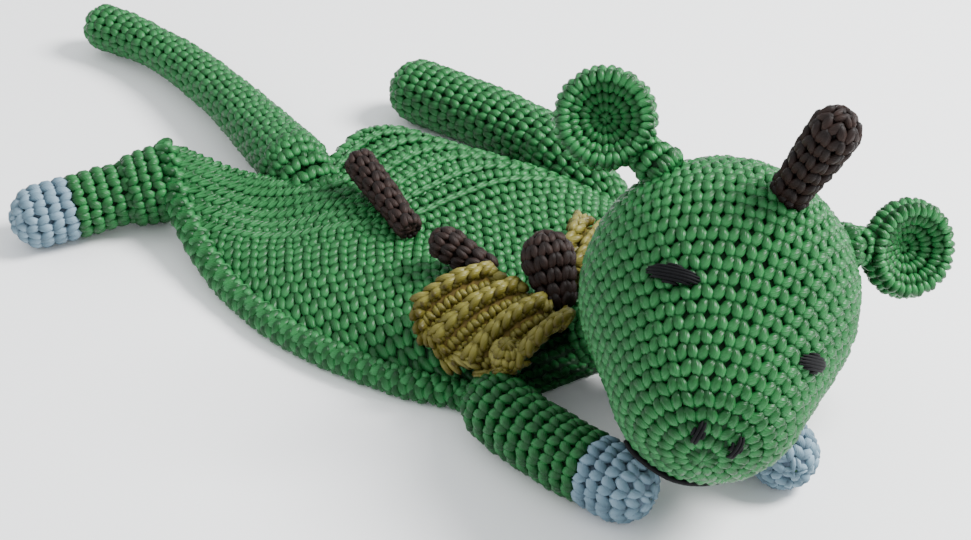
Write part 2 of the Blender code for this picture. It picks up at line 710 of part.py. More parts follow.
add_belly_panel()
add_back_panel()
add_side_seam("right_side_seam", RIGHT_EDGE)
add_side_seam("left_side_seam", LEFT_EDGE)
add_neck()
add_head()
add_finger_pocket()
add_ear("right_ear", -1)
add_ear("left_ear", 1)
add_horn()
add_face()
for spike, numbers in SPIKES.items():
    add_spike(spike, *numbers)
for wing, corners in WINGS.items():
    add_wing(wing, corners)
for limb, (control, radius, share) in LIMBS.items():
    add_limb(limb, control, radius, share, GREEN if limb == "left_leg" else WHITE)
add_tail()
add_pivots()
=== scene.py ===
"""A crocheted dragon hand puppet: every stitch is laid on its piece's surface over a thin backing.
Lengths are in millimetres and turned to metres where a mesh is made."""

import math
import random

import bmesh
import bpy
from mathutils import Matrix, Vector


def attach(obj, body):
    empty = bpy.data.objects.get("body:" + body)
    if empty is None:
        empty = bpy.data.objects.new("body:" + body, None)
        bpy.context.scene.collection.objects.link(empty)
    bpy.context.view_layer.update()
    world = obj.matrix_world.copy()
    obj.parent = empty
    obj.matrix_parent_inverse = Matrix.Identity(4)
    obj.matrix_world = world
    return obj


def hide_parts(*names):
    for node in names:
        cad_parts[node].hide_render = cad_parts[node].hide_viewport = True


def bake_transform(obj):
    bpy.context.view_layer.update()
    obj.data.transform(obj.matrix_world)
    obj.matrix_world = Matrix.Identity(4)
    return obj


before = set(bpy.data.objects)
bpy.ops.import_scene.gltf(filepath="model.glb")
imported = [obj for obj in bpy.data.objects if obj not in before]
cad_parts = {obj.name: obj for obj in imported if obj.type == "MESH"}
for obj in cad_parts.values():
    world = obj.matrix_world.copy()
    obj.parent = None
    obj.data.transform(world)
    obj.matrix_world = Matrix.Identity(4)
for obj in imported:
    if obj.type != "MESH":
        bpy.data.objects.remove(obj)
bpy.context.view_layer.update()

MM = 0.001
GROUND = 0.1  # what lies on the ground is pressed flat there
CHANCE = random.Random(11)

# Pattern scales, in patches to the metre.
DYE_PATCHES = 90.0  # differences of dye every 11 mm or so
FIBRES = 2600.0  # fuzz at 0.4 mm, far coarser than real fibres, which would not show
INNER_MOTTLE = 420.0  # shaded strands about 2.4 mm thick
FLOSS_STRANDS = 1800.0  # strands of about 0.6 mm

# Gauge of single crochet in a cotton a little over 2 mm thick.
STITCH_WIDTH = 6.0
ROW_HEIGHT = 4.3
STITCH_RISE = 3.5
BACKING_DEPTH = 2.3
STITCH_SINK = 1.1  # a loop's centre lies this far under the fabric's outer face

HEAD_CENTRE = Vector((10.4, -114.0, 54.0))
HEAD_RADIUS = 40.0
SNOUT = Vector((-0.785, -0.592, -0.183)).normalized()
CROWN_HINT = Vector((0.12, -0.434, 0.893))
CROWN = (CROWN_HINT - CROWN_HINT.dot(SNOUT) * SNOUT).normalized()
HEAD_LEFT = CROWN.cross(SNOUT)
# Snout half-outline: distance forward of the head's centre, radius.
SNOUT_OUTLINE = ((61.0, 0.0), (60.3, 5.0), (58.0, 12.0), (54.0, 18.4), (49.0, 22.8), (43.0, 26.0),
                 (36.0, 28.6), (28.0, 31.8), (20.0, 35.2), (12.0, 38.2))
NECK = Vector((-0.07, 0.767, -0.639)).normalized()
NECK_RADIUS = 11.4
NECK_FROM = 37.0
NECK_TO = 57.0
POCKET_RADIUS = 8.0
POCKET_LENGTH = 26.0

# Each eye: forward on the head, degrees from the crown, slant forward, half its length.
EYES = {"right_eye": (23.2, -46.7, 0.0, 8.2), "left_eye": (33.4, 40.5, 0.28, 6.8)}
EYE_HALF_WIDTH = 2.4
EYE_THREADS = 7
EYE_LIFT = 1.7
NOSTRIL_FORWARD = 58.8
NOSTRIL_TURN = 35.0
NOSTRIL_SLANT = 0.1
NOSTRIL_HALF = (3.9, 1.4)
NOSTRIL_THREADS = 4
NOSTRIL_LIFT = 1.6
MOUTH_FORWARD = 47.0
MOUTH_BOW = 6.0
MOUTH_STARTS = -142.0  # degrees from the crown
MOUTH_SWEEP = -80.0
MOUTH_RADIUS = 0.9
MOUTH_LIFT = 1.1

RIGHT_EDGE = ((-24, -62, 5.2), (-38, -37, 5.2), (-46, -12, 5.2), (-50, 14, 5.2), (-48, 45, 6.0),
              (-40, 76, 12.0), (-31, 98, 26.0))
SPINE = ((3, -62, 24), (1, -45, 22), (0, -22, 21), (0, 2, 20), (-1, 25, 20), (-4, 44, 19),
         (-7, 58, 18))
LEFT_EDGE = ((44, -78, 5.2), (58, -62, 5.2), (70, -44, 5.2), (75, -26, 5.2), (73.5, -6, 5.2),
             (66, 13, 5.2), (57, 32, 5.2))
HEM_BULGE = Vector((11.0, 22.0, 0.0))
ROW_SLANT = 0.22
HEM_CHAINS = (0.6, 0.67, 0.74, 0.81, 0.88, 0.95)  # raised chains parallel to the hem, as shares

# Each limb: its Bezier points from root to tip centre, radius, share of height where pressed.
LIMBS = {
    "right_arm": (((-35, -70, 11), (-37, -88, 11), (-35, -104, 11), (-33, -118, 11)), 10.8, 1.0),
    "left_arm": (((41, -90, 6.6), (35, -103, 6.4), (24, -121, 6.4), (11.5, -142, 10.4)), 10.0, 0.6),
    "right_leg": (((-45, 101, 13.5), (-55, 106, 12.5), (-66, 110, 11.5), (-76, 114, 11)), 10.6, 1.0),
    "left_leg": (((80, 22, 12), (80, 44, 12), (77, 65, 12), (73, 83, 12)), 11.6, 1.0),
}
CAP_LENGTH = 11.0
# How far each root is tucked under the glove, in its own radii.
ROOT_REACH = {"right_leg": 1.15, "left_leg": 1.0, "right_arm": 1.15, "left_arm": 1.3}
PRESSED_UNTIL = 0.62
BORDER_RADIUS = 4.0
BORDER_PITCH = 5.6
BORDER_LOOP = (6.4, 6.6, 4.4)  # width, height and rise of a border loop
# Round the roll: each line of loops' angle up from level, and which way it leans.
BORDER_LINES = ((125, -1), (75, 1), (25, -1), (-25, 1))
CUFF_RADIUS = 13.4
CUFF_TAPER = 1.6
CUFF_LENGTH = 12.0
CUFF_STARTS = 9.0  # this far behind the leg's root
TAIL = ((2, 71, 17), (12, 108, 12), (31, 165, 10.5), (17.5, 208, 11))
TAIL_ROOT = ((-3, 47, 5.5), (-2, 55, 11), (0, 64, 16), (2, 76, 17))
TAIL_ROOT_LOWEST = 9.0
TAIL_ROOT_RADIUS = 12.2
TAIL_ROOT_TAPER = 0.6
STUFFED = 0.8  # how full the stuffed pieces are
EMPTY = 0.0  # the sleeves a hand goes into, and the ear cups, hold no stuffing
# The far leg's root beside the glove: Bezier points from front to leg, and radii there.
HAUNCH = ((73, -19, 6.5), (76, -8, 8.5), (79, 8, 11), (80, 23, 12))
HAUNCH_RADII = (7.0, 11.9)
TAIL_BEND = (0.44, 0.6)  # the bend's start and end, as shares of the curve
TAIL_RADII = (11.5, 11.2, 10.6, 10.0, 9.4, 8.9, 8.5, 8.1, 7.7, 8.2, 8.8)

# Each spike: base centre, tip centre, base radius, tip radius.
SPIKES = {
    "front": ((0, -60, 28.3), (4.5, -51, 38), 5.5, 8.4),
    "middle": ((-2, -30, 25.9), (-6.5, -16.5, 31), 4.6, 5.6),
    "rear": ((-2.5, 6.5, 24.8), (5, 38, 30.5), 4.2, 5.3),
}
# Each wing: inner rear, inner front, outer front and outer rear corner.
WINGS = {
    "right_wing": ((-6.5, -37, 31), (-6, -71, 31), (-28, -69, 23), (-30, -28, 24.5)),
    "left_wing": ((18, -47, 28), (14, -66, 29), (37, -62, 28), (37, -34, 28)),
}
WING_RIBS = 3  # ripples, with a raised ridge at each end and between them
WING_RIPPLE = 2.5
WING_BULGE = 6.0
WING_ARCH = 3.0
KNOB_RADIUS = 5.2
HORN_TILT = 5  # degrees back from the crown
HORN_BACK = 7.1
HORN_HEIGHT = 40.6
HORN_LENGTH = 24.0
HORN_RADII = (5.6, 7.2)
EAR_ROOT = (-19.5, 58.8)  # forward on the head, degrees from the crown
EAR_REACH = (0.92, 0.08, -0.39)
EAR_FACING = Vector((-0.62, -0.64, 0.46)).normalized()
EAR_OUT = 20.5
EAR_RIM = 3.3
EAR_HALF = 11.6
EAR_DEPTH = 7.5
EAR_STEM_RADIUS = 7.0
EAR_STEM_TAPER = 1.7
# Each ring of an ear: radius, lift from the disc's middle, stitches, their width, height and rise,
# and how far they tilt from facing forward, in degrees.
EAR_RINGS = ((13.4, 0.0, 18, 4.9, 5.6, 3.8, 75), (12.0, 3.2, 17, 4.6, 5.0, 4.0, 20),
             (9.4, 2.2, 15, 4.2, 4.8, 3.6, -30), (6.4, 0.0, 11, 4.0, 4.6, 3.2, -28),
             (3.6, -1.8, 7, 3.6, 4.0, 2.8, -20), (1.0, -2.9, 3, 2.8, 3.2, 2.2, 0),
             (12.4, -3.2, 18, 4.8, 5.4, 3.4, 145), (9.0, -5.8, 14, 4.4, 5.0, 3.0, 160),
             (5.4, -7.8, 9, 4.2, 4.8, 3.0, 168), (2.0, -8.8, 5, 3.2, 4.2, 2.8, 176))

CAMERA_PLACE = (-351.9, -391.9, 391.3)
CAMERA_VIEW = (0.562, 0.582, -0.588)
CAMERA_RIGHT = (0.719, -0.695, 0.0)
FOCAL_LENGTH = 72.3
SENSOR_WIDTH = 36


def linear(hex_colour):
    """An sRGB hex colour as linear values."""
    channels = [int(hex_colour[i:i + 2], 16) / 255 for i in (0, 2, 4)]
    return tuple(c / 12.92 if c <= 0.04045 else ((c + 0.055) / 1.055) ** 2.4
                 for c in channels) + (1.0,)


def add_node(tree, kind, values=None, links=None, **settings):
    """Adds a node, sets its properties and input values, and links its inputs."""
    node = tree.nodes.new(kind)
    for key, value in settings.items():
        setattr(node, key, value)
    for key, value in (values or {}).items():
        node.inputs[key].default_value = value
    for key, source in (links or {}).items():
        tree.links.new(source, node.inputs[key])
    return node


def set_ramp(node, stops):
    ramp = node.color_ramp
    while len(ramp.elements) < len(stops):
        ramp.elements.new(0.5)
    for element, (place, colour) in zip(ramp.elements, stops):
        element.position = place
        element.color = linear(colour)


def yarn(name, painted_shade, body, light, roughness=0.4, gloss=0.24):
    """Plied cotton: a painted highlight on the crown of each loop, painted shade where loops sink
    into each other, with the plies' twist across each loop and small differences of dye from place
    to place."""
    made = bpy.data.materials.new(name)
    made.use_nodes = True
    tree = made.node_tree
    shader = tree.nodes["Principled BSDF"]
    shader.inputs["Roughness"].default_value = roughness
    shader.inputs["Specular IOR Level"].default_value = gloss
    place = add_node(tree, "ShaderNodeTexCoord")
    loop = add_node(tree, "ShaderNodeUVMap", uv_map="loop")
    split = add_node(tree, "ShaderNodeSeparateXYZ", links={"Vector": loop.outputs["UV"]})
    along = add_node(tree, "ShaderNodeValToRGB", links={"Fac": split.outputs["Y"]})
    # Painted shade at both ends of each loop and a painted highlight a little past its middle.
    set_ramp(along, ((0.0, painted_shade), (0.3, body), (0.62, light), (0.8, body), (1.0, painted_shade)))
    dye = add_node(tree, "ShaderNodeTexNoise", {"Scale": DYE_PATCHES, "Detail": 3.0},
                   {"Vector": place.outputs["Object"]})
    tone = add_node(tree, "ShaderNodeMapRange", {"To Min": 0.78, "To Max": 1.18},
                    {"Value": dye.outputs["Fac"]})
    tinted = add_node(tree, "ShaderNodeHueSaturation", None,
                      {"Color": along.outputs["Color"], "Value": tone.outputs["Result"]})
    tree.links.new(tinted.outputs["Color"], shader.inputs["Base Color"])
    turned = add_node(tree, "ShaderNodeMapping", {"Rotation": (0, 0, 0.6), "Scale": (5, 3, 1)},
                      {"Vector": loop.outputs["UV"]})
    plies = add_node(tree, "ShaderNodeTexWave", {"Scale": 1.0, "Distortion": 0.8, "Detail": 1.0},
                     {"Vector": turned.outputs["Vector"]})
    fibre = add_node(tree, "ShaderNodeTexNoise", {"Scale": FIBRES, "Detail": 2.0},
                     {"Vector": place.outputs["Object"]})
    twist = add_node(tree, "ShaderNodeBump", {"Strength": 0.22, "Distance": 0.0003},
                     {"Height": plies.outputs["Fac"]})
    fuzz = add_node(tree, "ShaderNodeBump", {"Strength": 0.25, "Distance": 0.00015},
                    {"Height": fibre.outputs["Fac"], "Normal": twist.outputs["Normal"]})
    tree.links.new(fuzz.outputs["Normal"], shader.inputs["Normal"])
    return made


def backing(name, painted_shade, body):
    """The inner strands behind the loops, painted dark for the shade they lie in: matt and uneven.
    """
    made = bpy.data.materials.new(name)
    made.use_nodes = True
    tree = made.node_tree
    shader = tree.nodes["Principled BSDF"]
    shader.inputs["Roughness"].default_value = 0.9
    place = add_node(tree, "ShaderNodeTexCoord")
    patches = add_node(tree, "ShaderNodeTexNoise", {"Scale": INNER_MOTTLE, "Detail": 4.0},
                       {"Vector": place.outputs["Object"]})
    shades = add_node(tree, "ShaderNodeValToRGB", links={"Fac": patches.outputs["Fac"]})
    set_ramp(shades, ((0.35, painted_shade), (0.75, body)))
    tree.links.new(shades.outputs["Color"], shader.inputs["Base Color"])
    rough = add_node(tree, "ShaderNodeBump", {"Strength": 0.5, "Distance": 0.0004},
                     {"Height": patches.outputs["Fac"]})
    tree.links.new(rough.outputs["Normal"], shader.inputs["Normal"])
    return made


def loop_template(spread, lean, length, width, rise, tip=0.0, columns=6, rings=4):
    """One stitch: two plump loops side by side, leaning together at the foot. A tip lifts the
    loops' heads, which leaves the hollow under each round of real single crochet."""
    bm = bmesh.new()
    bm.loops.layers.uv.new("loop")
    for side in (-1, 1):
        made = bmesh.ops.create_uvsphere(bm, u_segments=columns, v_segments=rings, radius=0.5,
                                         calc_uvs=True)
        shape = (Matrix.Translation((side * spread, 0, 0)) @ Matrix.Rotation(-side * lean, 4, "Z")
                 @ Matrix.Rotation(tip, 4, "X") @ Matrix.Diagonal((width, length, rise, 1))
                 @ Matrix.Rotation(math.pi / 2, 4, "X"))
        bmesh.ops.transform(bm, matrix=shape, verts=made["verts"])
    mesh = bpy.data.meshes.new("stitch")
    bmesh.ops.recalc_face_normals(bm, faces=bm.faces)
    bm.to_mesh(mesh)
    bm.free()
    return mesh


SINGLE = loop_template(0.25, math.radians(22), 1.0, 0.6, 1.05, math.radians(26))
LEAF = loop_template(0.22, math.radians(36), 1.3, 0.52, 1.0)
STRAND = loop_template(0.2, math.radians(13), 1.35, 0.55, 1.0)
ROUNDED = loop_template(0.25, math.radians(24), 1.0, 0.58, 1.0, math.radians(20), 7, 5)


def site(surface, row, across, step_row, step_across):
    """Where a stitch sits on a surface: its point, way across, way up the rows and outward."""
    point = surface(row, across)
    side = surface(row, across + step_across) - surface(row, across - step_across)
    up = (surface(min(1.0, row + step_row), across)
          - surface(max(0.0, row - step_row), across)).normalized()
    outward = side.cross(up).normalized()
    return point, side.normalized(), up, outward


def stitch_matrix(point, side, up, outward, width, height, rise):
    """Places a unit stitch; a little unevenness is what a hand leaves."""
    outward = outward.normalized()
    side = (side - side.dot(outward) * outward).normalized()
    up_way = outward.cross(side)
    if up_way.dot(up) < 0:
        side, up_way = -side, -up_way
    turn = Matrix((side, up_way, outward)).transposed().to_4x4()
    wobble = Matrix.Rotation(CHANCE.gauss(0, 0.06), 4, "Z")
    size = Matrix.Diagonal((width * CHANCE.uniform(0.96, 1.06), height * CHANCE.uniform(0.96, 1.05),
                            rise * CHANCE.uniform(0.9, 1.1), 1))
    shift = outward * CHANCE.uniform(-0.15, 0.15) + side * CHANCE.uniform(-0.2, 0.2)
    return Matrix.Scale(MM, 4) @ Matrix.Translation(point + shift) @ turn @ wobble @ size


def stitches(name, template, places, finish):
    """One mesh of many copies of a stitch."""
    bm = bmesh.new()
    for place in places:
        copy = template.copy()
        copy.transform(place)
        bm.from_mesh(copy, face_normals=False, vertex_normals=False)
        bpy.data.meshes.remove(copy)
    return piece(name, bm, finish)


def piece(name, bm, finish):
    for vert in bm.verts:
        vert.co.z = max(vert.co.z, GROUND * MM)
    mesh = bpy.data.meshes.new(name)
    bm.to_mesh(mesh)
    bm.free()
    mesh.materials.append(finish)
    mesh.shade_smooth()
    made = bpy.data.objects.new(name, mesh)
    bpy.context.scene.collection.objects.link(made)
    return made


def ring_centre(surface, row):
    return sum((surface(row, k * math.pi / 2) for k in range(4)), Vector()) / 4


def ring_length(surface, row):
    points = [surface(row, 2 * math.pi * k / 24) for k in range(24)]
    return sum((a - b).length for a, b in zip(points, points[1:] + points[:1]))


def row_length(surface, across, low=0.0, high=1.0, count=40):
    points = [surface(low + (high - low) * k / count, across) for k in range(count + 1)]
    return sum((a - b).length for a, b in zip(points, points[1:]))


def rounds(surface, low=0.0, high=1.0, row_height=ROW_HEIGHT, width=STITCH_WIDTH,
           rise=STITCH_RISE):
    """Places for rounds of stitches about a closed tube, worked from low to high."""
    length = row_length(surface, 0.0, low, high)
    count = max(1, round(length / row_height))
    places = []
    for index in range(count):
        row = low + (high - low) * (index + 0.5) / count
        around = ring_length(surface, row)
        number = max(4, round(around / width))
        for k in range(number):
            turn = 2 * math.pi * (k + 0.5 * (index % 2)) / number
            point, side, up, outward = site(surface, row, turn, 0.006, 0.03)
            inner = ring_centre(surface, max(low, min(high, row)))
            if outward.dot(point - inner) < 0 and (point - inner).length > 1.5:
                outward = -outward
            places.append(stitch_matrix(point - outward.normalized() * STITCH_SINK, side, up,
                                        outward, around / number, length / count * 1.32, rise))
    return places


def tube_backing(name, surface, finish, columns=28, rows=30, inset=BACKING_DEPTH,
                 left_open=None):
    """The fabric behind the stitches, shrunk inwards; left_open picks the faces left out."""
    bm = bmesh.new()
    bmesh.ops.create_grid(bm, x_segments=columns, y_segments=rows, size=0.5)
    for vert in bm.verts:
        across, row = vert.co.x + 0.5, vert.co.y + 0.5
        point = surface(row, 2 * math.pi * across)
        centre = ring_centre(surface, row)
        reach = point - centre
        if reach.length > 0.01:
            point = centre + reach * max(0.0, 1 - inset / max(reach.length, inset))
        vert.co = point * MM
    bmesh.ops.remove_doubles(bm, verts=bm.verts, dist=0.00005)
    if left_open:
        bmesh.ops.delete(bm, geom=[face for face in bm.faces
                                   if left_open(face.calc_center_median() / MM)], context="FACES")
    bmesh.ops.recalc_face_normals(bm, faces=bm.faces)
    return piece(name, bm, finish)


def dress(name, surface, body, nodes, yarn_finish, back_finish, slot, left_open=None,
          fill=STUFFED, **sizes):
    """A crocheted piece: backing and stitches, both riding one body, in place of CAD nodes."""
    back = tube_backing(name + "_backing", surface, back_finish, left_open=left_open)
    places = [place for place in rounds(surface, **sizes)
              if not left_open or not left_open(place.translation / MM)]
    cover = stitches(name + "_stitches", SINGLE, places, yarn_finish)
    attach(back, body)
    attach(cover, body)
    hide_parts(*nodes)


def bezier(control, share):
    first, second, third, last = [Vector(point) for point in control]
    rest = 1 - share
    point = (first * rest ** 3 + second * 3 * rest * rest * share
             + third * 3 * rest * share * share + last * share ** 3)
    way = ((second - first) * rest * rest + (third - second) * 2 * rest * share
           + (last - third) * share * share)
    return point, way.normalized()


def ring_point(centre, direction, turn, half_width, half_height):
    side = Vector((0, 0, 1)).cross(direction)
    side = side.normalized() if side.length > 0.01 else Vector((1, 0, 0))
    up = direction.cross(side).normalized()
    return centre + side * math.cos(turn) * half_width + up * math.sin(turn) * half_height


def capsule(control, radius_at, press_at, length, root_reach=0.55):
    """A limb's surface: rounded root, tube, rounded tip; row runs 0 to 1 from root to tip."""
    root, tip = radius_at(0.0), radius_at(1.0)
    total = root * math.pi / 2 + length + tip * math.pi / 2

    def surface(row, turn):
        place = row * total
        if place < root * math.pi / 2:
            angle = math.pi / 2 - place / root
            centre, way = bezier(control, 0.0)
            press = press_at(0.0)
            return ring_point(centre - way * root * root_reach * math.sin(angle), way, turn,
                              root * (1.5 - 0.5 * press) * math.cos(angle),
                              root * press * math.cos(angle))
        place -= root * math.pi / 2
        if place < length:
            share = place / length
            centre, way = bezier(control, share)
            press = press_at(share)
            return ring_point(centre, way, turn, radius_at(share) * (1.5 - 0.5 * press),
                              radius_at(share) * press)
        angle = min((place - length) / tip, math.pi / 2)
        centre, way = bezier(control, 1.0)
        return ring_point(centre + way * tip * math.sin(angle), way, turn,
                          tip * math.cos(angle), tip * math.cos(angle))

    return surface, root * math.pi / 2 / total, (root * math.pi / 2 + length) / total


def curve_length(control):
    points = [bezier(control, k / 30)[0] for k in range(31)]
    return sum((a - b).length for a, b in zip(points, points[1:]))


def head_profile():
    """The head's half outline from nose to back, as (forward, radius)."""
    points = list(SNOUT_OUTLINE)
    for step in range(1, 30):
        turn = math.radians(76.0 + step * 104.0 / 29)
        points.append((HEAD_RADIUS * math.cos(turn), HEAD_RADIUS * math.sin(turn)))
    lengths = [0.0]
    for (x0, r0), (x1, r1) in zip(points, points[1:]):
        lengths.append(lengths[-1] + math.hypot(x1 - x0, r1 - r0))
    return points, lengths


PROFILE, PROFILE_LENGTHS = head_profile()


def head_surface(row, turn):
    """The head's skin, row 0 at the nose's tip and 1 at the back."""
    place = min(max(row, 0.0), 1.0) * PROFILE_LENGTHS[-1]
    index = max(i for i, reach in enumerate(PROFILE_LENGTHS) if reach <= place + 1e-9)
    index = min(index, len(PROFILE) - 2)
    span = PROFILE_LENGTHS[index + 1] - PROFILE_LENGTHS[index]
    part = (place - PROFILE_LENGTHS[index]) / span
    forward = PROFILE[index][0] * (1 - part) + PROFILE[index + 1][0] * part
    radius = PROFILE[index][1] * (1 - part) + PROFILE[index + 1][1] * part
    return (HEAD_CENTRE + SNOUT * forward
            + (CROWN * math.cos(turn) + HEAD_LEFT * math.sin(turn)) * radius)


def head_radius(forward):
    for (near, near_radius), (far, far_radius) in zip(PROFILE, PROFILE[1:]):
        if far <= forward <= near:
            return far_radius + (near_radius - far_radius) * (forward - far) / (near - far)
    return math.sqrt(max(0.0, HEAD_RADIUS ** 2 - forward ** 2))


def head_skin(forward, turn):
    angle = math.radians(turn)
    spread = CROWN * math.cos(angle) + HEAD_LEFT * math.sin(angle)
    slope = (head_radius(forward + 1.5) - head_radius(forward - 1.5)) / 3.0
    normal = (spread - SNOUT * slope).normalized()
    return HEAD_CENTRE + SNOUT * forward + spread * head_radius(forward), normal


def line_point(line, share):
    place = share * (len(line) - 1)
    index = min(int(place), len(line) - 2)
    local = place - index
    before = Vector(line[max(index - 1, 0)])
    start, end = Vector(line[index]), Vector(line[index + 1])
    after = Vector(line[min(index + 2, len(line) - 1)])
    out, back = (end - before) / 2, (after - start) / 2
    square, cube = local * local, local ** 3
    return (start * (2 * cube - 3 * square + 1) + out * (cube - 2 * square + local)
            + end * (3 * square - 2 * cube) + back * (cube - square))


def back_surface(share, across):
    """The glove's back: share runs neck to hem, across -1 right to 1 left."""
    share = min(max(share, 0.0), 1.0)
    across = min(max(across, -1.0), 1.0)
    spine = line_point(SPINE, share)
    edge = line_point(RIGHT_EDGE if across < 0 else LEFT_EDGE, share)
    away = abs(across)
    point = spine.lerp(edge, away)
    if across > 0:
        bow = max(0.0, share - 0.4) / 0.6
        point += HEM_BULGE * bow * math.sin(math.pi * away) ** 2
    crown = 1 - away ** (2.0 if across < 0 else 7.0)
    point.z = edge.z + (spine.z - edge.z) * crown
    if across < 0:
        point.z -= 5.0 * math.exp(-((share - 0.8) / 0.16) ** 2) * math.sin(math.pi * away) ** 2
    return point


def back_rows(share, across):
    """The lines that the back's rows follow: near the right edge they keep to the hem's slant."""
    slant = ROW_SLANT * math.sin(math.pi * share) * max(0.0, -across)
    return back_surface(share + slant, across)


def panel_places(surface, low, high, rise, row_height, width, down=False, lift=0.0, ribbed=0.0):
    """Places for flat rows of stitches between two edges."""
    length = max(row_length(surface, side) for side in (low * 0.6, 0.0, high * 0.6))
    count = round(length / row_height)
    places = []
    for index in range(count):
        row = (index + 0.5) / count
        points = [surface(row, low + (high - low) * k / 60) for k in range(61)]
        steps = [0.0]
        for a, b in zip(points, points[1:]):
            steps.append(steps[-1] + (a - b).length)
        number = max(3, round(steps[-1] / width))
        for k in range(number):
            want = steps[-1] * (k + 0.5 + 0.25 * (-1) ** index) / number
            near = min(range(61), key=lambda i: abs(steps[i] - want))
            across = low + (high - low) * near / 60
            if near < 60 and steps[near + 1] > steps[near]:
                across += (high - low) / 60 * (want - steps[near]) / (steps[near + 1] - steps[near])
            across = min(max(across, low + 0.01), high - 0.01)
            point, side, up, outward = site(surface, row, across, 0.015, 0.01)
            if (outward.z < 0) != down:
                outward = -outward
            local = (surface(min(1, row + 0.5 / count), across)
                     - surface(max(0, row - 0.5 / count), across)).length
            height = lift + ribbed * (-1) ** index * min(1.0, max(0.0, row - 0.5) * 4)
            places.append(stitch_matrix(point + outward * height, side, up, outward,
                                        steps[-1] / number, max(local, 2.8) * 1.12, rise))
    return places


def panel_sheet(name, surface, low, high, finish, columns, rows, drop, thickness):
    bm = bmesh.new()
    bmesh.ops.create_grid(bm, x_segments=columns, y_segments=rows, size=0.5)
    for vert in bm.verts:
        point = surface(vert.co.y + 0.5, low + (high - low) * (vert.co.x + 0.5))
        vert.co = (point - Vector((0, 0, drop))) * MM
    bmesh.ops.recalc_face_normals(bm, faces=bm.faces)
    made = piece(name, bm, finish)
    wall = made.modifiers.new("wall", "SOLIDIFY")
    wall.thickness = thickness * MM
    wall.offset = 0.0
    return made


# Each yarn's colours: painted shade, the cotton's own colour, painted highlight.
GREEN = yarn("mercerised_cotton_green", "093416", "114a1f", "307842")
# The paws' pale cotton, drawn as a cool blue-grey.
WHITE = yarn("cotton_white", "3d4e5a", "5c7482", "8299a8", roughness=0.6)
YELLOW = yarn("mercerised_cotton_yellow", "352a09", "564f17", "7b7538")
BROWN = yarn("cotton_dark_brown", "0c0706", "1c110e", "2e1f1a", roughness=0.6, gloss=0.2)
# The backings are painted dark for the shade in the gaps between the loops, mottled at random.
GREEN_BACK = backing("inner_strands_green", "0a2a13", "174a25")
WHITE_BACK = backing("inner_strands_white", "43525f", "66788a")
YELLOW_BACK = backing("inner_strands_yellow", "4a3a0e", "6d5a1c")
BROWN_BACK = backing("inner_strands_brown", "0c0706", "1d120f")


def black_floss():
    """Six-strand embroidery floss in satin stitch: black and nearly matt, with fine
    strands."""
    made = bpy.data.materials.new("embroidery_floss_black")
    made.use_nodes = True
    tree = made.node_tree
    shader = tree.nodes["Principled BSDF"]
    shader.inputs["Roughness"].default_value = 0.7
    shader.inputs["Specular IOR Level"].default_value = 0.15
    place = add_node(tree, "ShaderNodeTexCoord")
    strands = add_node(tree, "ShaderNodeTexNoise", {"Scale": FLOSS_STRANDS},
                       {"Vector": place.outputs["Object"]})
    shade = add_node(tree, "ShaderNodeValToRGB", links={"Fac": strands.outputs["Fac"]})
    set_ramp(shade, ((0.3, "030304"), (0.8, "0a0a0e")))
    tree.links.new(shade.outputs["Color"], shader.inputs["Base Color"])
    bump = add_node(tree, "ShaderNodeBump", {"Strength": 0.3, "Distance": 0.0001},
                    {"Height": strands.outputs["Fac"]})
    tree.links.new(bump.outputs["Normal"], shader.inputs["Normal"])
    return made


BLACK = black_floss()


def add_threads(name, lines, radius, node):
    """Threads laid along lines of points, tapering into the fabric at both ends."""
    curve = bpy.data.curves.new(name, "CURVE")
    curve.dimensions = "3D"
    curve.bevel_depth = radius * MM
    curve.bevel_resolution = 2
    curve.use_fill_caps = True
    for line in lines:
        spline = curve.splines.new("POLY")
        spline.points.add(len(line) - 1)
        for index, (spot, point) in enumerate(zip(spline.points, line)):
            spot.co = (*(point * MM), 1)
            spot.radius = 0.55 if index in (0, len(line) - 1) else 1.0
    curve.materials.append(BLACK)
    made = bpy.data.objects.new(name, curve)
    bpy.context.scene.collection.objects.link(made)
    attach(made, "head")
    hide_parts(node)


def satin_bar(name, forward, turn, lengthways, half_length, half_width, threads, lift):
    """An oval of parallel threads following the head's curve."""
    centre, normal = head_skin(forward, turn)
    across = normal.cross(lengthways).normalized()
    long_way = across.cross(normal).normalized()
    lines = []
    for index in range(threads):
        side = (index / (threads - 1) * 2 - 1)
        reach = half_length * math.sqrt(max(0.05, 1 - side * side * 0.92))
        line = []
        for step in range(9):
            along = (step / 8 * 2 - 1)
            spot = centre + long_way * along * reach + across * side * half_width
            sink = (along * reach) ** 2 / (2 * 38.0) + (side * half_width) ** 2 / (2 * 38.0)
            drop = 1.3 * abs(along) ** 4 + 0.5 * side * side
            line.append(spot + normal * (lift - sink - drop))
        lines.append(line)
    add_threads(name, lines, half_width / threads * 1.5, name)


